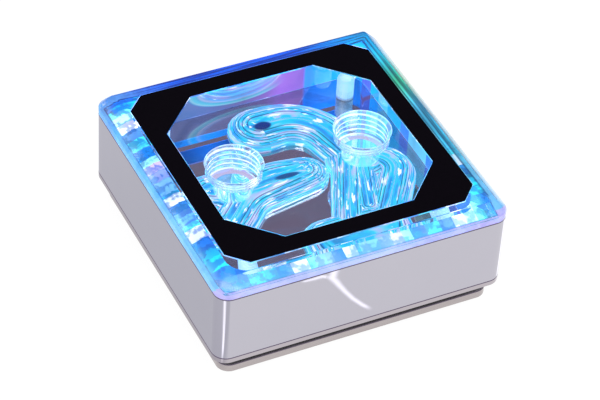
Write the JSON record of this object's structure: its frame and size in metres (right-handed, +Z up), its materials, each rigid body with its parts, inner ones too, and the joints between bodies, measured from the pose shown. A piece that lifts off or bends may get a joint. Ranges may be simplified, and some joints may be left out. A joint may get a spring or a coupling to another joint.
{
  "type": "cpu water block",
  "caption": "Square liquid cooling block for a processor: clear lit top with milled channels and two threaded hose ports, mirror-bright housing, finned cold plate below.",
  "frame": {"origin": "middle of the cold plate's lower face, which lies on the processor", "axes": "+Z up out of the clear top, +X from the inlet port to the outlet port, +Y towards the wall with the lead's grommet"},
  "size_m": [0.069, 0.069, 0.0278],
  "materials": {
    "nickel_copper": "nickel plate over copper, fine ground",
    "stainless_sheet": "brushed",
    "mirror_plate": "polished plate",
    "mirror_housing": "mirror polish",
    "clear_acrylic": "clear and polished, frosted in the milled channels",
    "black_sheet": "satin",
    "clear_silicone": "translucent",
    "black_rubber": "matt",
    "white_tape": "matt",
    "flexible_board": "white solder mask",
    "lamp_package": "white package with a lit window",
    "chip_ceramic": "matt with tinned ends",
    "screw_steel": "bright stainless"
  },
  "bodies": {
    "root": {"cold_plate": "nickel_copper", "cold_plate_seal": "black_rubber", "jet_plate": "stainless_sheet", "middle_plate": "mirror_plate", "housing": "mirror_housing", "lead_grommet": "black_rubber", "clear_top": "clear_acrylic", "channel_seal": "clear_silicone", "black_inlay": "black_sheet", "strip_tape": "white_tape", "light_strip": "flexible_board", "strip_lamps": "lamp_package", "strip_chips": "chip_ceramic", "clamp_screws": "screw_steel"}
  },
  "joints": []
}
